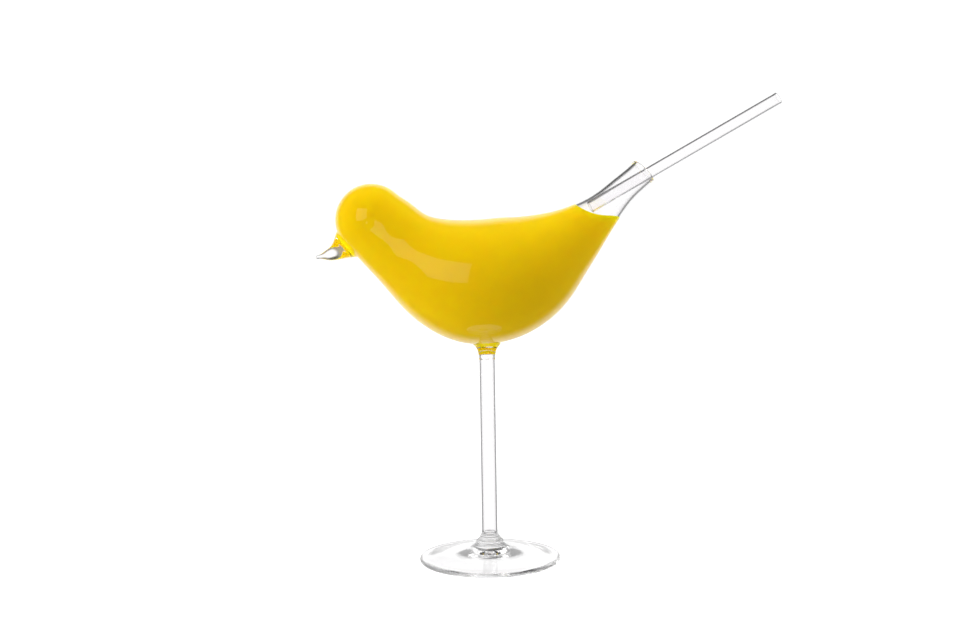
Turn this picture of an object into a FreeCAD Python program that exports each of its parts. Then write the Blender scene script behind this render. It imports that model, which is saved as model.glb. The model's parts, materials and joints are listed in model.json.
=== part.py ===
import FreeCAD, Part
import os
import Sketcher

# A bird-shaped drinking glass with a loose glass straw. Millimetres, +Z up, +X from head to tail.
# The origin is the centre of the foot on the table, and the bird is symmetric about the XZ plane.

# The bird's blown form, from head to mouth. Each station is a round section on the symmetry plane:
# its centre's x and z, its radius, and its tilt, the angle of its normal above +X in degrees.
STATIONS = {
    "head": (-54.5, 164.9, 17.5, -41.7),
    "nape": (-47.3, 158.4, 18.5, -36.5),
    "neck": (-40.0, 151.3, 19.7, -30.8),
    "shoulder": (-31.2, 143.9, 23.2, -22.2),
    "breast": (-19.0, 137.7, 27.6, -14.7),
    "belly": (-3.0, 134.5, 30.3, -5.7),
    "flank": (13.1, 136.8, 28.9, 10.0),
    "rump": (28.6, 144.9, 23.3, 27.0),
    "croup": (37.8, 151.8, 18.0, 33.0),
    "tail_root": (44.8, 157.4, 14.3, 38.0),
    "tail_taper": (51.7, 163.3, 11.1, 41.0),
    "tail_neck": (59.0, 170.1, 8.5, 43.0),
    "tail_tube": (67.0, 178.1, 6.95, 44.5),
    "mouth": (76.5, 186.3, 6.6, 44.0),
}

# The solid beak, from a section hidden inside the head to the last one before its round tip.
BEAK_STATIONS = {
    "beak_inside": (-64.6, 154.9, 8.6, 218.0),
    "beak_base": (-68.2, 152.9, 6.8, 213.0),
    "beak_flare": (-72.3, 149.8, 3.9, 206.0),
    "beak_middle": (-76.4, 148.3, 2.4, 199.0),
    "beak_end": (-81.0, 147.6, 0.8, 188.0),
}

SIZES = {
    "wall": 1.3,  # blown wall of the bird
    "lip_radius": 6.0,  # centre line of the fire-polished lip
    "lip_bead": 0.7,  # radius of the lip's round bead
    "eye_x": -54.0,
    "eye_height": 162.0,
    "eye_radius": 3.6,
    "eye_offset": 15.4,  # centre of the eye's ball from the symmetry plane
    "stem_radius": 4.0,
    "stem_bore": 3.2,
    "stem_bottom": 14.8,
    "stem_top": 97.0,
    "knot_shoulder_radius": 4.2,
    "knot_shoulder": 99.0,
    "knot_flare": 6.65,
    "knot_radius": 6.7,
    "knot_rim": 104.2,
    "knot_inside": 108.0,  # hidden in the bowl's wall before the cut
    "dome_edge": 99.6,
    "dome_top": 101.8,
    "bell_throat": 6.3,
    "bell_neck_radius": 6.2,
    "bell_neck": 10.0,
    "bell_roll": 1.1,
    "bore_end_edge": 13.6,
    "bore_end": 11.5,
    "seat_radius": 6.6,
    "seat": 8.8,
    "boss_radius": 10.4,
    "boss": 6.2,
    "boss_fillet": 5.0,
    "foot_top_curve": 145.0,
    "foot_land_radius": 33.1,  # outer edge of the flat ring that the foot stands on
    "foot_edge": 2.4,  # thickness of the rounded rim
    "foot_edge_round": 1.25,
    "foot_ring_radius": 30.5,  # inner edge of that flat ring
    "foot_dome": 3.6,  # height of the hollow under the foot's centre
    "straw_radius": 3.0,
    "straw_bore": 2.35,
    "straw_length": 104.6,
    "straw_polish": 0.3,
    "straw_x": 50.55,  # centre of the straw's inner end
    "straw_height": 169.5,
    "straw_tilt": 29.2,
    "drink_level": 164.2,
    "meniscus_x": 57.0,  # where the level surface starts to climb towards the back
    "wedge_x": 43.5,  # where the drink meets the glass of the back
    "wedge_height": 169.6,
    "meniscus_curve": 19.6,
    "air_right": 90.0,
    "air_top": 200.0,
    "air_width": 80.0,
}

# The nine-point control net of a circle, as (sideways, up) of its radius. Its four quarters are
# curves of degree two, and the net's corners weigh the cosine of 45 degrees.
CIRCLE_NET = [(1, 0), (1, 1), (0, 1), (-1, 1), (-1, 0), (-1, -1), (0, -1), (1, -1), (1, 0)]
CIRCLE_KNOTS = [0, 1, 2, 3, 4]
CIRCLE_REPEATS = [3, 2, 2, 2, 3]
CIRCLE_DEGREE = 2
CORNER_WEIGHT = 0.5**0.5

doc = FreeCAD.newDocument("bird_glass")
sheet = doc.addObject("Spreadsheet::Sheet", "sizes")


def fill_sheet():
    cells = dict(SIZES)
    for name, station in {**STATIONS, **BEAK_STATIONS}.items():
        for key, number in zip(("x", "height", "radius", "tilt"), station):
            cells[f"{name}_{key}"] = number
    for row, (name, number) in enumerate(cells.items(), start=1):
        sheet.set(f"A{row}", name)
        sheet.set(f"B{row}", str(number))
        sheet.setAlias(f"B{row}", name)
    doc.recompute()


def size(name):
    return float(sheet.get(name)) if name else 0.0


def new_body(name):
    return doc.addObject("PartDesign::Body", name)


def new_sketch(body, name, role):
    sketch = body.newObject("Sketcher::SketchObject", name)
    plane = next(f for f in body.Origin.OriginFeatures if f.Role == role)
    sketch.AttachmentSupport = [(plane, "")]
    sketch.MapMode = "FlatFace"
    return sketch


def direction(degrees):
    """The unit vector at an angle above +X, in the symmetry plane."""
    return FreeCAD.Rotation(FreeCAD.Vector(0, -1, 0), degrees).multVec(FreeCAD.Vector(1, 0, 0))


def centre_of(station):
    return FreeCAD.Vector(size(f"{station}_x"), 0, size(f"{station}_height"))


def rails(stations, inset, tangents):
    """Smooth curves that carry each point of the circle's net from section to section."""
    lengths = [0.0]
    for before, after in zip(stations, stations[1:]):
        lengths.append(lengths[-1] + (centre_of(after) - centre_of(before)).Length)
    curves = []
    for side, up in CIRCLE_NET:
        points = [net_point(station, side, up, inset) for station in stations]
        curve = Part.BSplineCurve()
        curve.interpolate(Points=points, Parameters=lengths, **tangents)
        curves.append(curve)
    return curves


def skin(name, stations, inset="", tangents=None):
    """A solid whose skin passes through round sections. It is built from its own control net,
    because a loft through circles that tilt this much twists."""
    curves = rails(list(stations), inset, tangents or {})
    poles = [curve.getPoles() for curve in curves]
    weights = [[CORNER_WEIGHT if i % 2 else 1.0] * len(row) for i, row in enumerate(poles)]
    repeats = (CIRCLE_REPEATS, curves[0].getMultiplicities())
    knots = (CIRCLE_KNOTS, curves[0].getKnots())
    degrees = (CIRCLE_DEGREE, curves[0].Degree)
    surface = Part.BSplineSurface()
    surface.buildFromPolesMultsKnots(poles, *repeats, *knots, False, False, *degrees, weights)
    side = surface.toShape()
    caps = [Part.Face(Part.Wire(edge)) for edge in side.Edges if edge.isClosed()]
    shell = Part.Shell([side, *caps])
    shell.sewShape()
    feature = doc.addObject("Part::Feature", name)
    feature.Shape = Part.Solid(shell)
    feature.Placement = FreeCAD.Placement()
    return feature


def net_point(station, side, up, inset):
    radius = size(f"{station}_radius") - size(inset)
    upward = direction(size(f"{station}_tilt") + 90)
    return centre_of(station) + (upward * up + FreeCAD.Vector(0, side, 0)) * radius


def ball_radius(start, end):
    """The radius of the arc between two corners whose centre is on the axis. One corner is too."""
    rise = abs(end.y - start.y)
    return (max(start.x, end.x) ** 2 + rise**2) / (2 * rise)


def arc_between(start, end, radius):
    """The anticlockwise arc from start to end, less than half a turn."""
    chord = end - start
    left = FreeCAD.Vector(-chord.y, chord.x, 0).normalize()
    depth = max(radius**2 - chord.Length**2 / 4, 0) ** 0.5
    centre = (start + end) * 0.5 + left * depth
    middle = centre - left * radius
    return Part.ArcOfCircle(start, middle, end)


def bind(sketch, constraint, expression):
    """Adds a constraint whose value follows the sheet."""
    index = sketch.addConstraint(Sketcher.Constraint(*constraint))
    sketch.setExpression(f"Constraints[{index}]", expression)


def fix_corner(sketch, edge, point, cells):
    """Holds a corner of an outline at the sheet's x and height, or on the axis where one is zero."""
    for kind, axis, cell in zip(("DistanceX", "DistanceY"), (-2, -1), cells):
        if cell:
            bind(sketch, (kind, -1, 1, edge, point, size(cell)), f"sizes.{cell}")
        else:
            sketch.addConstraint(Sketcher.Constraint("PointOnObject", edge, point, axis))


def outline(body, name, corners, bends):
    """A closed outline in the XZ plane. Corners are pairs of cells. An edge in bends is an arc whose
    centre is on the left (+1) or right (-1) of the way round. It has the cell's radius, or where the
    cell is None its centre is on the axis, so that it turns into part of a ball."""
    sketch = new_sketch(body, name, "XZ_Plane")
    points = [FreeCAD.Vector(size(x), size(z), 0) for x, z in corners]
    ends = []
    for edge, start in enumerate(points):
        end = points[(edge + 1) % len(points)]
        cell, side = bends.get(edge, (None, 0))
        radius = size(cell) or ball_radius(start, end) if side else 0
        ends.append((2, 1) if side < 0 else (1, 2))
        if side > 0:
            sketch.addGeometry(arc_between(start, end, radius))
        elif side < 0:
            sketch.addGeometry(arc_between(end, start, radius))
        else:
            sketch.addGeometry(Part.LineSegment(start, end))
    for edge, corner in enumerate(corners):
        before = (edge - 1) % len(corners)
        join = ("Coincident", before, ends[before][1], edge, ends[edge][0])
        sketch.addConstraint(Sketcher.Constraint(*join))
        fix_corner(sketch, edge, ends[edge][0], corner)
    for edge, (cell, _) in bends.items():
        if cell:
            bind(sketch, ("Radius", edge, size(cell)), f"sizes.{cell}")
        else:
            sketch.addConstraint(Sketcher.Constraint("PointOnObject", edge, 3, -2))
    return sketch


def revolve(body, name, sketch, axis="V_Axis"):
    feature = body.newObject("PartDesign::Revolution", name)
    feature.Profile = sketch
    feature.ReferenceAxis = (sketch, [axis])
    feature.Angle = 360
    return feature


def turned(name, corners, bends):
    """A body turned about the stem's axis from its half outline."""
    body = new_body(name)
    revolve(body, f"{name}_turned", outline(body, f"{name}_outline", corners, bends))
    return body


def ball(name, centre, radius, tilt=None):
    """A glass ball, or with a tilt the half ball behind the section with that tilt."""
    feature = doc.addObject("Part::Sphere", name)
    feature.setExpression("Radius", radius)
    for axis, place in zip("xyz", centre):
        feature.setExpression(f".Placement.Base.{axis}", place)
    if tilt:
        feature.Angle2 = 0
        feature.Placement.Rotation = FreeCAD.Rotation(FreeCAD.Vector(0, 1, 0), 90 - size(tilt))
        feature.setExpression(".Placement.Rotation.Angle", f"90 - sizes.{tilt}")
    return feature


def bird_form(name, inset=""):
    """The bird's outer form, or with an inset the hollow inside its wall."""
    tangents = {
        "InitialTangent": direction(size("head_tilt")),
        "FinalTangent": direction(size("mouth_tilt")),
    }
    body = skin(f"{name}_skin", STATIONS, inset, tangents)
    less = f" - sizes.{inset}" if inset else ""
    centre = ("sizes.head_x", "0", "sizes.head_height")
    end = ball(f"{name}_end", centre, f"sizes.head_radius{less}", "head_tilt")
    return boolean("Fuse", name, body, end)


def boolean(kind, name, base, tool):
    feature = doc.addObject(f"Part::{kind}", name)
    feature.Base = base
    feature.Tool = tool
    feature.Refine = True
    return feature


def lip_ring():
    """The bead that the flame leaves round the mouth."""
    ring = doc.addObject("Part::Torus", "lip_ring")
    ring.setExpression("Radius1", "sizes.lip_radius")
    ring.setExpression("Radius2", "sizes.lip_bead")
    ring.Placement.Rotation = FreeCAD.Rotation(FreeCAD.Vector(0, 1, 0), 90 - size("mouth_tilt"))
    ring.setExpression(".Placement.Rotation.Angle", "90 - sizes.mouth_tilt")
    ring.setExpression(".Placement.Base.x", "sizes.mouth_x")
    ring.setExpression(".Placement.Base.z", "sizes.mouth_height")
    return ring


def bird_bowl(form, hollow):
    shell = boolean("Cut", "bowl_shell", form, hollow)
    return boolean("Fuse", "bird_bowl", shell, lip_ring())


def beak(form):
    body = skin("beak_skin", BEAK_STATIONS)
    centre = ("sizes.beak_end_x", "0", "sizes.beak_end_height")
    tip = ball("beak_tip", centre, "sizes.beak_end_radius")
    return boolean("Cut", "beak", boolean("Fuse", "beak_form", body, tip), form)


def eye(name, side, form):
    """A glass dot on the side of the head. The bird's left is at -Y."""
    centre = ("sizes.eye_x", f"{side} * sizes.eye_offset", "sizes.eye_height")
    return boolean("Cut", name, ball(f"{name}_ball", centre, "sizes.eye_radius"), form)


def stem_collar(form):
    """The knot between stem and bowl, with the domed end of the stem's bore."""
    corners = [
        ("stem_bore", "stem_top"),
        ("stem_radius", "stem_top"),
        ("knot_shoulder_radius", "knot_shoulder"),
        ("knot_radius", "knot_rim"),
        ("knot_radius", "knot_inside"),
        (None, "knot_inside"),
        (None, "dome_top"),
        ("stem_bore", "dome_edge"),
    ]
    knot = turned("knot_form", corners, {2: ("knot_flare", -1), 6: (None, -1)})
    return boolean("Cut", "stem_collar", knot, form)


def stem():
    body = new_body("stem")
    sketch = new_sketch(body, "stem_rings", "XY_Plane")
    sketch.AttachmentOffset.Base.z = size("stem_bottom")
    sketch.setExpression(".AttachmentOffset.Base.z", "sizes.stem_bottom")
    two_rings(sketch, "stem_radius", "stem_bore")
    pad = body.newObject("PartDesign::Pad", "stem_tube")
    pad.Profile = sketch
    pad.setExpression("Length", "sizes.stem_top - sizes.stem_bottom")
    return body


def two_rings(sketch, *cells):
    for ring, cell in enumerate(cells):
        sketch.addGeometry(Part.Circle(FreeCAD.Vector(), FreeCAD.Vector(0, 0, 1), size(cell)))
        sketch.addConstraint(Sketcher.Constraint("Coincident", ring, 3, -1, 1))
        bind(sketch, ("Radius", ring, size(cell)), f"sizes.{cell}")


def foot_collar():
    """The bell between stem and foot, with the rounded end of the stem's bore."""
    corners = [
        (None, "seat"),
        ("seat_radius", "seat"),
        ("bell_neck_radius", "bell_neck"),
        ("stem_radius", "stem_bottom"),
        ("stem_bore", "stem_bottom"),
        ("stem_bore", "bore_end_edge"),
        (None, "bore_end"),
    ]
    bends = {1: ("bell_roll", 1), 2: ("bell_throat", -1), 5: (None, -1)}
    return turned("foot_collar", corners, bends)


def foot():
    """The disc foot, hollowed underneath so that it stands on a flat ring near its rim."""
    corners = [
        (None, "foot_dome"),
        ("foot_ring_radius", None),
        ("foot_land_radius", None),
        ("foot_land_radius", "foot_edge"),
        ("boss_radius", "boss"),
        ("seat_radius", "seat"),
        (None, "seat"),
    ]
    bends = {
        0: (None, -1),
        2: ("foot_edge_round", 1),
        3: ("foot_top_curve", -1),
        4: ("boss_fillet", -1),
    }
    return turned("foot", corners, bends)


def drinking_straw():
    """A straight glass tube with fire-polished ends, leaning in the tail."""
    body = new_body("drinking_straw")
    sketch = new_sketch(body, "straw_rings", "YZ_Plane")
    two_rings(sketch, "straw_radius", "straw_bore")
    pad = body.newObject("PartDesign::Pad", "straw_tube")
    pad.Profile = sketch
    pad.setExpression("Length", "sizes.straw_length")
    doc.recompute()
    rims = [f"Edge{n}" for n, edge in enumerate(pad.Shape.Edges, start=1) if edge.Closed]
    polish = body.newObject("PartDesign::Fillet", "polished_ends")
    polish.Base = (pad, rims)
    polish.setExpression("Radius", "sizes.straw_polish")
    body.Placement.Rotation = FreeCAD.Rotation(FreeCAD.Vector(0, -1, 0), size("straw_tilt"))
    body.setExpression(".Placement.Rotation.Angle", "sizes.straw_tilt")
    body.setExpression(".Placement.Base.x", "sizes.straw_x")
    body.setExpression(".Placement.Base.z", "sizes.straw_height")
    return body


def drink(hollow):
    """The liquid: the whole hollow but for the air in the tail, with a meniscus up the back."""
    body = new_body("tail_air")
    corners = [
        ("wedge_x", "wedge_height"),
        ("meniscus_x", "drink_level"),
        ("air_right", "drink_level"),
        ("air_right", "air_top"),
        ("wedge_x", "air_top"),
    ]
    sketch = outline(body, "air_outline", corners, {0: ("meniscus_curve", 1)})
    pad = body.newObject("PartDesign::Pad", "air_block")
    pad.Profile = sketch
    pad.Midplane = True
    pad.setExpression("Length", "sizes.air_width")
    return boolean("Cut", "drink", hollow, body)


def build():
    fill_sheet()
    form = bird_form("bird_form")
    hollow = bird_form("bird_hollow", "wall")
    pieces = [
        bird_bowl(form, hollow),
        beak(form),
        eye("left_eye", -1, form),
        eye("right_eye", 1, form),
        stem_collar(form),
        stem(),
        foot_collar(),
        foot(),
        drinking_straw(),
        drink(hollow),
    ]
    doc.recompute()
    return pieces


def check(pieces):
    for item in doc.Objects:
        if {"Invalid", "Error"} & set(item.State):
            raise RuntimeError(f"{item.Label} failed: {item.State}")
    for piece in pieces:
        if piece.Shape.isNull() or not piece.Shape.isValid():
            raise RuntimeError(f"{piece.Label} has no valid shape")


def export(pieces):
    os.makedirs("parts", exist_ok=True)
    for piece in pieces:
        solids = len(piece.Shape.Solids)
        print(f"{piece.Label}: {solids} solid, {piece.Shape.Volume / 1000:.2f} ml, {piece.Shape.BoundBox}")
        piece.Shape.exportStep(f"parts/{piece.Label}.step")


pieces = build()
check(pieces)
export(pieces)
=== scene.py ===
"""A bird-shaped drinking glass full of yellow drink, with a loose glass straw. It runs in Blender."""

import json

import bmesh
import bpy
import numpy as np
from mathutils import Matrix, Vector
from mathutils.bvhtree import BVHTree


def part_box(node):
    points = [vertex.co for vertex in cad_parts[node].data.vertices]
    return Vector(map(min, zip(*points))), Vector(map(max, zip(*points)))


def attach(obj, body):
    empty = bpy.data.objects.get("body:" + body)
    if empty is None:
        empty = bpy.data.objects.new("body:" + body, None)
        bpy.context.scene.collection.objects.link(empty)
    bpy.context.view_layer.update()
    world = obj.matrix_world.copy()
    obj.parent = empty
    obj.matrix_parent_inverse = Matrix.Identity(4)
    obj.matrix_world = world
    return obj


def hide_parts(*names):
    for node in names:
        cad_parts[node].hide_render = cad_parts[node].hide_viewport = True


MM = 0.001

# The bird's blown form, from head to mouth: each round section's centre x and z and its radius, in
# millimetres, and its tilt, the angle of its normal above +X in degrees.
BIRD = [
    (-54.5, 164.9, 17.5, -41.7),
    (-47.3, 158.4, 18.5, -36.5),
    (-40.0, 151.3, 19.7, -30.8),
    (-31.2, 143.9, 23.2, -22.2),
    (-19.0, 137.7, 27.6, -14.7),
    (-3.0, 134.5, 30.3, -5.7),
    (13.1, 136.8, 28.9, 10.0),
    (28.6, 144.9, 23.3, 27.0),
    (37.8, 151.8, 18.0, 33.0),
    (44.8, 157.4, 14.3, 38.0),
    (51.7, 163.3, 11.1, 41.0),
    (59.0, 170.1, 8.5, 43.0),
    (67.0, 178.1, 6.95, 44.5),
    (76.5, 186.3, 6.6, 44.0),
]
# The beak, from a section hidden inside the head to the last one before its round tip.
BEAK = [
    (-64.6, 154.9, 8.6, 218.0),
    (-68.2, 152.9, 6.8, 213.0),
    (-72.3, 149.8, 3.9, 206.0),
    (-76.4, 148.3, 2.4, 199.0),
    (-81.0, 147.6, 0.8, 188.0),
]
WALL = 1.3
LIP_RADIUS = 6.0  # centre line of the fire-polished lip's round bead
LIP_BEAD = 0.7
LIP_RUN = 1.2  # the outside stops this far short of the mouth, and turns towards the bead
LIP_JOIN = 0.7
LIP_SWELL = 0.1
LIP_STEPS = 4
BEAD_START, BEAD_TURN, BEAD_STEPS = -35, 215, 20
EYE = (-54.0, 15.4, 162.0)
EYE_RADIUS = 3.6

# Outlines turned about the stem's axis are (radius, height), in millimetres.
STEM_RADIUS = 4.0
STEM_BORE = 3.2
STEM_TOP = 97.0
STEM_BOTTOM = 14.8
KNOT = [(4.0, 97.0), (4.2, 99.0), (6.7, 104.2), (6.7, 108.0)]
KNOT_FLARE = 6.65
BORE_TOP = (99.6, 101.8)
BORE_END = (13.6, 11.5)
BELL = [(6.6, 8.8), (6.2, 10.0), (4.0, 14.8)]
BELL_ROLL = 1.1
BELL_THROAT = 6.3
FOOT = [(30.5, 0.0), (33.1, 0.0), (33.1, 2.4), (10.4, 6.2), (6.6, 8.8)]
FOOT_DOME = 3.6
FOOT_EDGE_ROUND = 1.25
FOOT_TOP_CURVE = 145.0
BOSS_FILLET = 5.0

STRAW_RADIUS = 3.0
STRAW_BORE = 2.35
STRAW_LENGTH = 104.6
STRAW_SWELL = 0.04  # how far the fire-polished ends stand out of the wall
STRAW_END = 2.0  # the tube's even rings stop this far short of them

DRINK_LEVEL = 164.2
DRINK_OVERLAP = 0.06  # the drink reaches this far into the glass, so that no air lies between them
WEDGE_X = 43.5
WEDGE_HEIGHT = 169.6
MENISCUS_X = 57.0
MENISCUS = 0.7
MENISCUS_REACH = 0.9
AIR_LEFT, AIR_RIGHT, AIR_HALF, AIR_TOP, AIR_STEP = 41.0, 92.0, 16.0, 200.0, 0.5

AROUND = 144
BALL_RINGS = 28
SECTIONS = 170
BEAK_AROUND = 72
BEAK_SECTIONS = 60
TIP_RINGS = 8
EYE_AROUND = 64
EYE_RINGS = 32
TURNED_AROUND = 96
STRAW_AROUND = 72
STRAW_TURNS = 12

# The pieces of the fused glass by material index, and the faces that are cut away.
SLOTS = ["bird_bowl", "beak", "left_eye", "right_eye", "stem_collar", "cut"]
CUT = SLOTS.index("cut")
LID = 2.0  # the solid bird closes this far beyond its mouth
SLACK = 0.001
SAME_POINT = 2e-7  # metres
WELD = 1.2  # how far a weld bends the normals
EYE_WELD = 0.25

GLASS_COLOUR = (0.985, 0.98, 0.985, 1.0)
GLASS_IOR = 1.47
GLASS_WAVES = 0.03
STRAW_WAVES = 0.004
DRINK_COLOURS = (0.92, 0.655, 0.0, 1.0), (0.95, 0.69, 0.0, 1.0)
DRINK_DEPTH = 10.0
DRINK_RADIUS = (1.0, 0.8, 0.1)
FLOOR_COLOUR = (0.3, 0.3, 0.3, 1.0)
FLOOR_SIZE = 6.0
WHITE = (1.0, 1.0, 1.0, 1.0)

CAMERA_PLACE = (-0.0017, -0.483, 0.124)
CAMERA_PITCH = -1.06
CAMERA_ROLL = 0.9
LENS = 37.3
SENSOR = 36

MIDDLE = (-0.02, 0.0, 0.14)
# Each light's name, place, width, height, watts and colour, and whether glass reflects it. They face
# the bird's middle.
LIGHTS = [
    ("key", (-0.8, -0.55, 0.35), 0.6, 0.8, 7.8, (1.0, 0.99, 0.96), False),
    ("fill", (0.5, 0.1, 0.65), 0.5, 0.6, 4.0, (1.0, 1.0, 1.0), False),
    ("softbox", (-0.45, -0.78, 0.38), 0.52, 0.6, 0.85, (1.0, 1.0, 1.0), True),
]
WORLD = 1.1
ROOM = 2.3  # what lights the drink
# Shares of the world's light by direction. TILT runs from level to straight up or down, and BACK from
# the photographer's side to straight behind the bird: for the drink, for what clear glass reflects,
# and for what is seen through it, which is a bright backdrop with dim surroundings and a dark card.
ROOM_TILT = [(0.0, 0.7), (1.0, 1.0)]
ROOM_BACK = [(0.0, 0.31), (1.0, 1.0)]
GLEAM_BACK = [(0.0, 0.08), (0.72, 0.1), (0.9, 1.0)]
SEEN_BACK = [(0.0, 0.85), (0.55, 0.85), (0.66, 0.28), (0.91, 0.28), (0.968, 1.0)]
CARD = (-0.34, 0.7, 0.62)
CARD_EDGE = [(0.86, 1.0), (0.93, 0.3)]
BOUNCES = 24


def spline(knots, values, first, last):
    """The cubic spline through values at knots, with these slopes at its ends, as a function."""
    knots = np.asarray(knots, float)
    values = np.asarray(values, float)
    count = len(knots)
    step = np.diff(knots)
    rise = np.diff(values, axis=0) / step[:, None]
    matrix = np.zeros((count, count))
    right = np.zeros_like(values)
    matrix[0, 0] = matrix[-1, -1] = 1.0
    right[0], right[-1] = first, last
    for i in range(1, count - 1):
        matrix[i, i - 1] = step[i]
        matrix[i, i] = 2 * (step[i - 1] + step[i])
        matrix[i, i + 1] = step[i - 1]
        right[i] = 3 * (step[i] * rise[i - 1] + step[i - 1] * rise[i])
    slope = np.linalg.solve(matrix, right)

    def value(at):
        i = int(np.clip(np.searchsorted(knots, at) - 1, 0, count - 2))
        h = step[i]
        t = (at - knots[i]) / h
        return (
            (1 + 2 * t) * (1 - t) ** 2 * values[i]
            + t * (1 - t) ** 2 * h * slope[i]
            + t * t * (3 - 2 * t) * values[i + 1]
            + t * t * (t - 1) * h * slope[i + 1]
        )

    return value


def direction(degrees):
    angle = np.radians(degrees)
    return np.array([np.cos(angle), 0.0, np.sin(angle)])


class Form:
    """A skin of round sections, in millimetres. At v along it, a section has a centre, a radius and
    an upward vector as long as the radius; both are splines, so the skin is smooth."""

    def __init__(self, stations, inset=0.0):
        centres = np.array([(x, 0.0, z) for x, z, _, _ in stations])
        radii = np.array([radius - inset for _, _, radius, _ in stations])
        ups = np.array([direction(tilt + 90) for *_, tilt in stations]) * radii[:, None]
        gaps = np.linalg.norm(np.diff(centres, axis=0), axis=1)
        knots = np.concatenate([[0.0], np.cumsum(gaps)])
        first, last = direction(stations[0][3]), direction(stations[-1][3])
        still = np.zeros(3)
        self.length = knots[-1]
        self.centre = spline(knots, centres, first, last)
        self.up = spline(knots, ups, still, still)
        self.radius = spline(knots, radii[:, None], np.zeros(1), np.zeros(1))
        self.first = first
        self.last = last

    def ring(self, v, grow=0.0, forward=0.0, around=AROUND):
        """Points round the section at v, its radius grown and its plane moved forward."""
        radius = float(self.radius(v)[0])
        up = self.up(v) * (radius + grow) / radius
        angle = np.arange(around) * 2 * np.pi / around
        side = np.array([0.0, radius + grow, 0.0])
        centre = self.centre(v) + self.last * forward
        return centre + np.cos(angle)[:, None] * up + np.sin(angle)[:, None] * side

    def ball(self, rings):
        """Rings of the half ball before the first section, from its pole on."""
        radius = float(self.radius(0.0)[0])
        result = []
        for i in range(1, rings):
            turn = np.pi / 2 * i / rings
            ring = self.ring(0.0, radius * (np.sin(turn) - 1))
            result.append(ring - self.first * radius * np.cos(turn))
        return result

    def pole(self):
        return self.centre(0.0) - self.first * float(self.radius(0.0)[0])


def mesh_of(name, rings, first=None, last=None, slots=None, flip=False):
    """A mesh from rings of points in millimetres. It closes on a point at an end where one is given,
    and slots gives the material index of each band between rings. Its faces look outwards where the
    rings turn anticlockwise as seen from behind, and flip turns them round."""
    mesh = bmesh.new()
    rows = [[mesh.verts.new(Vector(p) * MM) for p in ring] for ring in rings]
    around = len(rows[0])

    def face(corners, slot):
        made = mesh.faces.new(corners[::-1] if flip else corners)
        made.smooth = True
        made.material_index = slot

    for row, (a, b) in enumerate(zip(rows, rows[1:])):
        for i in range(around):
            j = (i + 1) % around
            face([a[i], a[j], b[j], b[i]], slots[row] if slots else 0)
    for end, row, turned in ((first, rows[0], True), (last, rows[-1], False)):
        if end is None:
            continue
        tip = mesh.verts.new(Vector(end) * MM)
        slot = slots[0 if turned else -1] if slots else 0
        for i in range(around):
            j = (i + 1) % around
            face([row[j], row[i], tip] if turned else [row[i], row[j], tip], slot)
    data = bpy.data.meshes.new(name)
    mesh.to_mesh(data)
    mesh.free()
    return data


def new_object(name, data):
    made = bpy.data.objects.new(name, data)
    bpy.context.scene.collection.objects.link(made)
    return made


def arc(start, end, radius, side, count):
    """Points after start, up to end, on an arc whose centre is on the left (+1) or right (-1)."""
    start, end = np.array(start, float), np.array(end, float)
    chord = end - start
    length = np.linalg.norm(chord)
    left = np.array([-chord[1], chord[0]]) / length
    depth = np.sqrt(max(radius**2 - length**2 / 4, 0.0))
    centre = (start + end) / 2 + left * depth * side
    a = np.arctan2(*(start - centre)[::-1])
    b = np.arctan2(*(end - centre)[::-1])
    turn = (b - a) % (2 * np.pi) if side > 0 else -((a - b) % (2 * np.pi))
    angles = a + turn * np.arange(1, count + 1) / count
    return [tuple(centre + radius * np.array([np.cos(t), np.sin(t)])) for t in angles]


def dome(start, end, count):
    """An arc to or from the axis that is square to it there, so that it turns into part of a ball."""
    rise = abs(end[1] - start[1])
    radius = (max(start[0], end[0]) ** 2 + rise**2) / (2 * rise)
    return arc(start, end, radius, -1, count)


def line(start, end, count):
    start, end = np.array(start, float), np.array(end, float)
    return [tuple(start + (end - start) * i / count) for i in range(1, count + 1)]


def turned_rings(outline, around=TURNED_AROUND):
    """Rings round the stem's axis from an outline of (radius, height)."""
    angle = np.arange(around) * 2 * np.pi / around
    rings = []
    for radius, height in outline:
        ring = np.zeros((around, 3))
        ring[:, 0] = radius * np.cos(angle)
        ring[:, 1] = radius * np.sin(angle)
        ring[:, 2] = height
        rings.append(ring)
    return rings


class Skin:
    """Smooth source surfaces. They give the exact normal at a point near them."""

    def __init__(self, *sources):
        self.places, self.normals, self.corners = [], [], []
        for data in sources:
            data.calc_loop_triangles()
            start = len(self.places)
            self.places += [v.co.copy() for v in data.vertices]
            self.normals += [v.normal.copy() for v in data.vertices]
            self.corners += [tuple(start + v for v in t.vertices) for t in data.loop_triangles]
        self.tree = BVHTree.FromPolygons(self.places, self.corners)

    def gap(self, point):
        return self.tree.find_nearest(point)[3]

    def normal(self, point):
        place, _, index, _ = self.tree.find_nearest(point)
        a, b, c = self.corners[index]
        pa, pb, pc = self.places[a], self.places[b], self.places[c]
        area = (pb - pa).cross(pc - pa).length or 1e-12
        wa = (pb - place).cross(pc - place).length / area
        wb = (pc - place).cross(pa - place).length / area
        wc = (pa - place).cross(pb - place).length / area
        return (self.normals[a] * wa + self.normals[b] * wb + self.normals[c] * wc).normalized()


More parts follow.
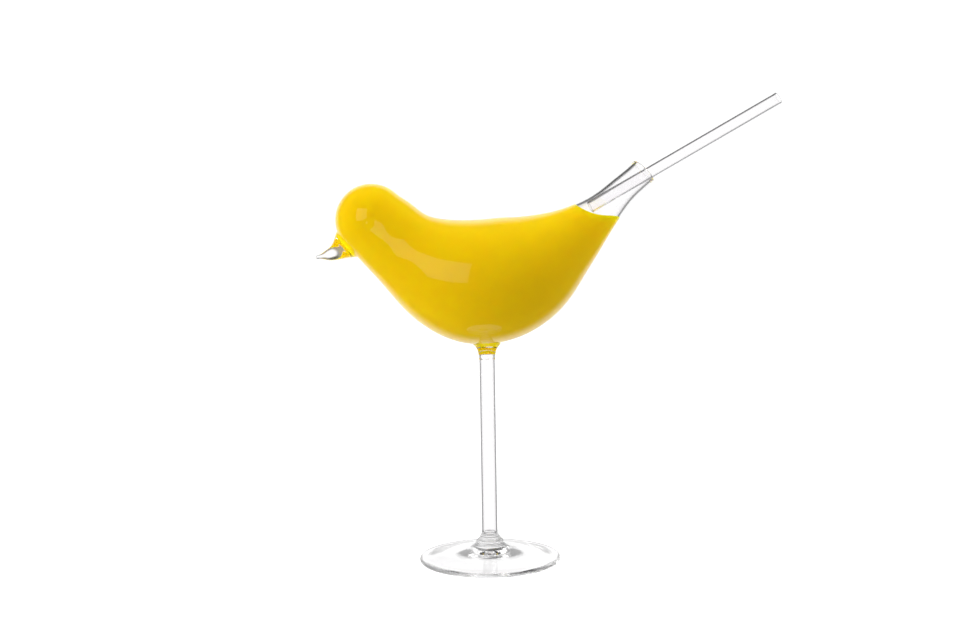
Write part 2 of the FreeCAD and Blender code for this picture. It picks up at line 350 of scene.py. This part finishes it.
def full_rings(form):
    """The bowl's rings in one run: outside from the head to the mouth, over the lip and back inside."""
    outside = form.ball(BALL_RINGS)
    outside += [form.ring(v) for v in np.linspace(0.0, form.length - LIP_RUN, SECTIONS)]
    inside = []
    for t in np.linspace(0, 1, LIP_STEPS + 1)[1:]:
        swell = LIP_SWELL * t * t * (3 - 2 * t)
        inside.append(form.ring(form.length - LIP_RUN + t * LIP_JOIN, swell))
    for i in range(BEAD_STEPS + 1):
        turn = np.radians(BEAD_START + BEAD_TURN * i / BEAD_STEPS)
        radial = LIP_RADIUS + LIP_BEAD * np.cos(turn) - BIRD[-1][2]
        inside.append(form.ring(form.length, radial, LIP_BEAD * np.sin(turn)))
    inside += [form.ring(v, -WALL) for v in np.linspace(form.length, 0.0, SECTIONS)[1:]]
    radius = BIRD[0][2] - WALL
    for i in range(BALL_RINGS - 1, 0, -1):
        turn = np.pi / 2 * i / BALL_RINGS
        ring = form.ring(0.0, radius * np.sin(turn) - BIRD[0][2])
        inside.append(ring - form.first * radius * np.cos(turn))
    return outside, inside, form.centre(0.0) - form.first * radius


def beak_mesh():
    beak = Form(BEAK)
    places = np.linspace(0.0, beak.length, BEAK_SECTIONS)
    rings = [beak.ring(v, around=BEAK_AROUND) for v in places]
    tip = BEAK[-1][2]
    for i in range(1, TIP_RINGS):
        turn = np.pi / 2 * i / TIP_RINGS
        shrink, forward = tip * (np.cos(turn) - 1), tip * np.sin(turn)
        rings.append(beak.ring(beak.length, shrink, forward, around=BEAK_AROUND))
    end = beak.centre(beak.length) + beak.last * tip
    return mesh_of("beak", rings, beak.centre(0.0), end, flip=True)


def eye_mesh(side):
    centre = np.array([EYE[0], side * EYE[1], EYE[2]])
    angle = np.arange(EYE_AROUND) * 2 * np.pi / EYE_AROUND
    rings = []
    for i in range(1, EYE_RINGS):
        turn = np.pi * i / EYE_RINGS
        ring = np.zeros((EYE_AROUND, 3))
        ring[:, 0] = EYE_RADIUS * np.sin(turn) * np.cos(angle)
        ring[:, 1] = EYE_RADIUS * np.cos(turn)
        ring[:, 2] = EYE_RADIUS * np.sin(turn) * np.sin(angle)
        rings.append(centre + ring)
    pole = np.array([0, EYE_RADIUS, 0])
    return mesh_of("eye", rings, centre + pole, centre - pole)


def knot_mesh():
    outline = [KNOT[0]] + line(KNOT[0], KNOT[1], 4) + arc(KNOT[1], KNOT[2], KNOT_FLARE, -1, 40)
    outline += line(KNOT[2], KNOT[3], 8)
    return mesh_of("knot", turned_rings(outline), (0, 0, KNOT[0][1]), (0, 0, KNOT[3][1]))


def slotted(name, data):
    """An object with one material slot per piece, so that its faces can be told apart later."""
    for slot in SLOTS:
        dummy = bpy.data.materials.get(f"part_{slot}") or bpy.data.materials.new(f"part_{slot}")
        data.materials.append(dummy)
    return new_object(name, data)


def boolean(base, tool, operation):
    """The mesh of base after a boolean with tool. Both objects are removed."""
    modifier = base.modifiers.new("boolean", "BOOLEAN")
    modifier.operation = operation
    modifier.object = tool
    modifier.solver = "EXACT"
    bpy.context.view_layer.update()
    evaluated = base.evaluated_get(bpy.context.evaluated_depsgraph_get())
    data = bpy.data.meshes.new_from_object(evaluated)
    for spent in (base, tool):
        bpy.data.objects.remove(spent)
    return data


def joined(name, *parts):
    mesh = bmesh.new()
    for part in parts:
        mesh.from_mesh(part)
    bmesh.ops.remove_doubles(mesh, verts=mesh.verts, dist=SAME_POINT)
    data = bpy.data.meshes.new(name)
    mesh.to_mesh(data)
    mesh.free()
    return data


def taken(data, slot, name):
    """The faces of one material slot, as their own mesh."""
    mesh = bmesh.new()
    mesh.from_mesh(data)
    others = [f for f in mesh.faces if f.material_index != slot]
    bmesh.ops.delete(mesh, geom=others, context="FACES")
    loose = [v for v in mesh.verts if not v.link_faces]
    bmesh.ops.delete(mesh, geom=loose, context="VERTS")
    piece = bpy.data.meshes.new(name)
    mesh.to_mesh(piece)
    mesh.free()
    return piece


def shade(data, *skins, weld=None, reach=WELD):
    """Smooth shading with the exact normals of the surfaces that the mesh was cut from. A face's
    material index says which one it comes from. Near the surface of a weld its normals turn to that
    surface's, as the glass does where it ran together."""
    known = {}
    normals = [None] * len(data.loops)
    for polygon in data.polygons:
        source = min(polygon.material_index, len(skins) - 1)
        for loop in polygon.loop_indices:
            vertex = data.loops[loop].vertex_index
            if (source, vertex) not in known:
                place = data.vertices[vertex].co
                normal = skins[source].normal(place)
                if weld:
                    near = weld.gap(place) / MM / reach
                    share = max(1 - near, 0.0) ** 2
                    normal = normal.lerp(weld.normal(place), share).normalized()
                known[source, vertex] = normal
            normals[loop] = known[source, vertex]
        polygon.use_smooth = True
        polygon.material_index = 0
    data.normals_split_custom_set(normals)
    return data


def fused_glass(form):
    """Bowl, beak, eyes and collar as one fused skin, divided where the pieces meet."""
    outside, inside, inner_pole = full_rings(form)
    lid = outside[-1] + form.last * LID
    slots = [0] * (len(outside) - 1) + [CUT]
    solid = mesh_of("solid", outside + [lid], form.pole(), lid.mean(axis=0), slots, flip=True)
    edge = (STEM_BORE, BORE_TOP[0])
    bore_outline = dome((0.0, BORE_TOP[1]), edge, 12) + line(edge, (STEM_BORE, STEM_TOP), 3)
    bore = mesh_of("bore", turned_rings(bore_outline), (0, 0, BORE_TOP[1]))
    hollow = mesh_of("inside", [outside[-1]] + inside, None, inner_pole, flip=True)
    tools = [beak_mesh(), eye_mesh(-1), eye_mesh(1), knot_mesh()]
    floor = (KNOT[0][1] + SLACK) * MM
    for slot, data in enumerate(tools, start=1):
        for polygon in data.polygons:
            low = all(data.vertices[v].co.z < floor for v in polygon.vertices)
            polygon.material_index = CUT if SLOTS[slot] == "stem_collar" and low else slot
    whole = mesh_of("whole", outside + inside, form.pole(), inner_pole, flip=True)
    skins = [Skin(whole)] + [Skin(data) for data in tools[:3]] + [Skin(tools[3], bore)]
    union = boolean(slotted("solid", solid), slotted("tools", joined("tools", *tools)), "UNION")
    extra = {"bird_bowl": [hollow], "stem_collar": [bore]}
    pieces = {}
    for slot, (name, skin) in enumerate(zip(SLOTS[:-1], skins)):
        data = joined(name, taken(union, slot, name), *extra.get(name, []))
        data.materials.clear()
        for polygon in data.polygons:
            polygon.material_index = 0
        weld = None if name == "bird_bowl" else skins[0]
        reach = EYE_WELD if "eye" in name else WELD
        pieces[name] = shade(data, skin, weld=weld, reach=reach)
    return pieces


def turned_piece(name, *outlines):
    """A piece turned about the stem's axis, from outlines that each make one surface."""
    parts = []
    for outline in outlines:
        first = (0, 0, outline[0][1]) if outline[0][0] == 0 else None
        last = (0, 0, outline[-1][1]) if outline[-1][0] == 0 else None
        rings = turned_rings([p for p in outline if p[0] > 0])
        parts.append(mesh_of(name, rings, first, last))
    return joined(name, *parts)


def lower_glass():
    """The stem, the foot's collar and the foot. Where they meet they share a ring of points."""
    low, high = (STEM_BORE, STEM_BOTTOM), (STEM_BORE, STEM_TOP)
    outer = (STEM_RADIUS, STEM_BOTTOM)
    stem = turned_piece("stem", [outer] + line(outer, KNOT[0], 12), [high] + line(high, low, 12))
    bell = [BELL[0]] + arc(BELL[0], BELL[1], BELL_ROLL, 1, 8)
    bell += arc(BELL[1], BELL[2], BELL_THROAT, -1, 20)
    edge, bottom = (STEM_BORE, BORE_END[0]), (0.0, BORE_END[1])
    bore = [low] + line(low, edge, 3) + dome(edge, bottom, 12)
    collar = turned_piece("foot_collar", bell, bore[:-1] + [bottom])
    top = (0.0, FOOT_DOME)
    outline = [top] + dome(top, FOOT[0], 40) + line(FOOT[0], FOOT[1], 3)
    outline += arc(FOOT[1], FOOT[2], FOOT_EDGE_ROUND, 1, 14)
    outline += arc(FOOT[2], FOOT[3], FOOT_TOP_CURVE, -1, 40)
    outline += arc(FOOT[3], FOOT[4], BOSS_FILLET, -1, 16)
    return {"stem": stem, "foot_collar": collar, "foot": turned_piece("foot", outline)}


def straw_mesh():
    """A tube along the straw's slide with round fire-polished ends."""
    mid = (STRAW_RADIUS + STRAW_BORE) / 2
    bead = (STRAW_RADIUS - STRAW_BORE) / 2 + STRAW_SWELL
    half = STRAW_LENGTH / 2 - bead
    even = half - STRAW_END
    outline = []
    for end, start in ((-1, 180), (1, 0)):
        for i in range(STRAW_TURNS + 1):
            turn = np.radians(start + 180 * i / STRAW_TURNS)
            outline.append((mid + bead * np.cos(turn), end * half + bead * np.sin(turn)))
        if end < 0:
            outline += line((STRAW_RADIUS, -even), (STRAW_RADIUS, even), 30)
    outline += line((STRAW_BORE, even), (STRAW_BORE, -even), 30)
    rings = turned_rings(outline, STRAW_AROUND)
    return mesh_of("straw", rings + [rings[0]])


def drink_surface(wall):
    """The drink's free surface, as rows of points: level in the tail, climbing to the back of the
    bird, and drawn up a little where it meets the glass."""
    rise = WEDGE_HEIGHT - DRINK_LEVEL
    reach = MENISCUS_X - WEDGE_X
    bend = (reach**2 + rise**2) / (2 * rise)
    rows = []
    for x in np.arange(AIR_LEFT, AIR_RIGHT + AIR_STEP / 2, AIR_STEP):
        row = []
        back = max(MENISCUS_X - x, 0.0)
        height = DRINK_LEVEL + bend - np.sqrt(bend**2 - back**2)
        for y in np.arange(-AIR_HALF, AIR_HALF + AIR_STEP / 2, AIR_STEP):
            point = Vector((x, y, height)) * MM
            place, normal, _, distance = wall.find_nearest(point)
            inside = (point - place).dot(normal) < 0
            gap = distance / MM if inside else 0.0
            row.append((x, y, height + MENISCUS * np.exp(-gap / MENISCUS_REACH)))
        rows.append(row)
    return rows


def air_block(rows):
    """The air above the surface, and the surface alone. The surface's faces look up."""
    mesh = bmesh.new()
    grid = [[mesh.verts.new(Vector(p) * MM) for p in row] for row in rows]
    for a, b in zip(grid, grid[1:]):
        for i in range(len(a) - 1):
            mesh.faces.new([a[i], b[i], b[i + 1], a[i + 1]]).smooth = True
    surface = bpy.data.meshes.new("surface")
    mesh.to_mesh(surface)
    bmesh.ops.reverse_faces(mesh, faces=mesh.faces)
    edge = grid[0] + [row[-1] for row in grid[1:]]
    edge += grid[-1][-2::-1] + [row[0] for row in grid[-2:0:-1]]
    above = [mesh.verts.new((v.co.x, v.co.y, AIR_TOP * MM)) for v in edge]
    for i, low in enumerate(edge):
        j = (i + 1) % len(edge)
        mesh.faces.new([low, edge[j], above[j], above[i]])
    mesh.faces.new(above)
    bmesh.ops.recalc_face_normals(mesh, faces=mesh.faces)
    for face in mesh.faces:
        face.material_index = 1
    block = bpy.data.meshes.new("air")
    mesh.to_mesh(block)
    mesh.free()
    return block, surface


def drink_mesh():
    form = Form(BIRD, WALL - DRINK_OVERLAP)
    places = np.linspace(0.0, form.length, SECTIONS)
    rings = form.ball(BALL_RINGS) + [form.ring(v) for v in places]
    body = mesh_of("body", rings, form.pole(), form.centre(form.length), flip=True)
    skin = Skin(body)
    block, surface = air_block(drink_surface(skin.tree))
    for data in (body, block):
        for name in ("inside", "surface"):
            data.materials.append(bpy.data.materials.get(name) or bpy.data.materials.new(name))
    data = boolean(new_object("body", body), new_object("air", block), "DIFFERENCE")
    shade(data, skin, Skin(surface))
    data.materials.clear()
    return data


def principled(name):
    """A new material, its tree and Principled shader, and functions that add noise and bump to it."""
    material = bpy.data.materials.new(name)
    material.use_nodes = True
    tree = material.node_tree
    shader = tree.nodes["Principled BSDF"]
    coordinates = tree.nodes.new("ShaderNodeTexCoord").outputs["Object"]

    def noise(scale, detail, low, high):
        texture = tree.nodes.new("ShaderNodeTexNoise")
        texture.inputs["Scale"].default_value = scale
        texture.inputs["Detail"].default_value = detail
        tree.links.new(coordinates, texture.inputs["Vector"])
        ranged = tree.nodes.new("ShaderNodeMapRange")
        ranged.inputs["From Min"].default_value = 0.3
        ranged.inputs["From Max"].default_value = 0.7
        ranged.inputs["To Min"].default_value = low
        ranged.inputs["To Max"].default_value = high
        tree.links.new(texture.outputs["Fac"], ranged.inputs["Value"])
        return ranged.outputs["Result"]

    def bump(height, distance):
        node = tree.nodes.new("ShaderNodeBump")
        node.inputs["Distance"].default_value = distance
        tree.links.new(height, node.inputs["Height"])
        tree.links.new(node.outputs["Normal"], shader.inputs["Normal"])

    return material, tree, shader, noise, bump


def glass_material(name, waviness):
    material, tree, shader, noise, bump = principled(name)
    shader.inputs["Base Color"].default_value = GLASS_COLOUR
    shader.inputs["Transmission Weight"].default_value = 1.0
    shader.inputs["IOR"].default_value = GLASS_IOR
    tree.links.new(noise(90.0, 3.0, 0.0, 0.012), shader.inputs["Roughness"])
    bump(noise(55.0, 1.5, 0.0, 1.0), waviness * MM)
    return material


def drink_material():
    material, tree, shader, noise, _ = principled("yellow_drink")
    mix = tree.nodes.new("ShaderNodeMix")
    mix.data_type = "RGBA"
    mix.inputs["A"].default_value, mix.inputs["B"].default_value = DRINK_COLOURS
    tree.links.new(noise(35.0, 4.0, 0.0, 1.0), mix.inputs["Factor"])
    tree.links.new(mix.outputs["Result"], shader.inputs["Base Color"])
    tree.links.new(noise(200.0, 3.0, 0.35, 0.5), shader.inputs["Roughness"])
    shader.inputs["Specular IOR Level"].default_value = 0.0
    shader.inputs["Subsurface Weight"].default_value = 1.0
    shader.inputs["Subsurface Radius"].default_value = DRINK_RADIUS
    shader.inputs["Subsurface Scale"].default_value = DRINK_DEPTH * MM
    return material


def show(data, body, node, material):
    """Puts a piece in the scene, in place of its CAD node."""
    data.materials.append(material)
    piece = new_object(f"{node}_visual", data)
    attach(piece, body)
    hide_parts(node)


def build_object(frame):
    glass = glass_material("clear_glass", GLASS_WAVES)
    pieces = {**fused_glass(Form(BIRD)), **lower_glass()}
    for node, data in pieces.items():
        show(data, "glass", node, glass)
    show(drink_mesh(), "glass", "drink", drink_material())
    straw = straw_mesh()
    low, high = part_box("drinking_straw")
    axis = Vector(frame["joints"][0]["axis"]).normalized()
    turn = Vector((0, 0, 1)).rotation_difference(axis).to_matrix().to_4x4()
    straw.transform(Matrix.Translation((low + high) / 2) @ turn)
    tube = glass_material("straw_glass", STRAW_WAVES)
    show(straw, "straw", "drinking_straw", tube)


def add_camera():
    camera = bpy.data.cameras.new("camera")
    camera.lens = LENS
    camera.sensor_width = SENSOR
    camera.clip_start = 0.01
    made = new_object("camera", camera)
    made.location = CAMERA_PLACE
    look = Matrix.Rotation(np.radians(90 + CAMERA_PITCH), 4, "X")
    roll = Matrix.Rotation(np.radians(-CAMERA_ROLL), 4, "Z")
    made.rotation_euler = (look @ roll).to_euler()
    bpy.context.scene.camera = made


def add_light(name, place, width, height, power, colour, reflected):
    light = bpy.data.lights.new(name, "AREA")
    light.shape = "RECTANGLE"
    light.size = width
    light.size_y = height
    light.energy = power
    light.color = colour
    made = new_object(name, light)
    made.location = place
    made.rotation_euler = (Vector(MIDDLE) - Vector(place)).to_track_quat("-Z", "Y").to_euler()
    made.visible_camera = False
    made.visible_glossy = reflected


def add_world():
    """A white room. Its light on the drink is strongest from behind. Clear glass has a bright
    backdrop with dim surroundings and a dark card, which draw its edges."""
    world = bpy.data.worlds.new("studio")
    bpy.context.scene.world = world
    world.use_nodes = True
    tree = world.node_tree
    coordinates = tree.nodes.new("ShaderNodeTexCoord").outputs["Generated"]
    split = tree.nodes.new("ShaderNodeSeparateXYZ")
    tree.links.new(coordinates, split.inputs["Vector"])
    ray = tree.nodes.new("ShaderNodeLightPath").outputs

    def math(operation, *values):
        node = tree.nodes.new("ShaderNodeMath")
        node.operation = operation
        for socket, value in zip(node.inputs, values):
            if isinstance(value, float):
                socket.default_value = value
            else:
                tree.links.new(value, socket)
        return node.outputs["Value"]

    def ramp(value, stops):
        node = tree.nodes.new("ShaderNodeValToRGB")
        node.color_ramp.interpolation = "EASE"
        elements = node.color_ramp.elements
        while len(elements) < len(stops):
            elements.new(0.5)
        for element, (place, share) in zip(elements, stops):
            element.position = place
            element.color = (share, share, share, 1.0)
        tree.links.new(value, node.inputs["Fac"])
        return node.outputs["Color"]

    def choose(chosen, value, other):
        node = tree.nodes.new("ShaderNodeMix")
        for name, wanted in (("Factor", chosen), ("A", other), ("B", value)):
            if isinstance(wanted, (int, float)):
                node.inputs[name].default_value = wanted
            else:
                tree.links.new(wanted, node.inputs[name])
        return node.outputs["Result"]

    facing = tree.nodes.new("ShaderNodeVectorMath")
    facing.operation = "DOT_PRODUCT"
    tree.links.new(coordinates, facing.inputs[0])
    facing.inputs[1].default_value = Vector(CARD).normalized()
    back = math("MULTIPLY_ADD", split.outputs["Y"], 0.5, 0.5)

    def product(level, *shares):
        for share in shares:
            level = math("MULTIPLY", share, level)
        return level

    tilt = math("ABSOLUTE", split.outputs["Z"])
    room = product(ROOM, ramp(tilt, ROOM_TILT), ramp(back, ROOM_BACK))
    gleam = product(WORLD, ramp(back, GLEAM_BACK))
    seen = product(WORLD, ramp(back, SEEN_BACK), ramp(facing.outputs["Value"], CARD_EDGE))
    seen = choose(ray["Is Transmission Ray"], seen, gleam)
    lit = math("GREATER_THAN", ray["Diffuse Depth"], 0.5)
    level = choose(ray["Is Camera Ray"], WORLD, choose(lit, room, seen))
    tree.links.new(level, tree.nodes["Background"].inputs["Strength"])
    tree.nodes["Background"].inputs["Color"].default_value = WHITE


def add_stage():
    """A plain pale floor for the camera alone. Glass and drink see the world below it."""
    data = bpy.data.meshes.new("floor")
    mesh = bmesh.new()
    bmesh.ops.create_grid(mesh, x_segments=1, y_segments=1, size=FLOOR_SIZE)
    mesh.to_mesh(data)
    mesh.free()
    floor = new_object("floor", data)
    floor.visible_diffuse = floor.visible_glossy = False
    floor.visible_transmission = floor.visible_shadow = False
    material, _, shader, _, _ = principled("pale_floor")
    shader.inputs["Base Color"].default_value = FLOOR_COLOUR
    shader.inputs["Roughness"].default_value = 0.9
    shader.inputs["Specular IOR Level"].default_value = 0.0
    shader.inputs["Emission Color"].default_value = WHITE
    shader.inputs["Emission Strength"].default_value = WORLD
    data.materials.append(material)


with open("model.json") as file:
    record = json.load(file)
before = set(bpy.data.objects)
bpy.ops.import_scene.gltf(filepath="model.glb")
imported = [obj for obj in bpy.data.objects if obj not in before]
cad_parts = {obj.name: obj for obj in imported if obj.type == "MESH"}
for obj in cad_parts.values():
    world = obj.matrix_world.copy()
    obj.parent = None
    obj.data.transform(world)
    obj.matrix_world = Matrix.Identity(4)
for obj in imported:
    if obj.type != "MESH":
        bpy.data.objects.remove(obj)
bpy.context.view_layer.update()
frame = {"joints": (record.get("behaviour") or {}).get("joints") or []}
build_object(frame)
add_stage()
add_world()
add_camera()
for light in LIGHTS:
    add_light(*light)
bpy.context.scene.view_settings.view_transform = "Standard"
cycles = bpy.context.scene.cycles
cycles.max_bounces = cycles.glossy_bounces = cycles.transmission_bounces = BOUNCES
cycles.transparent_max_bounces = BOUNCES
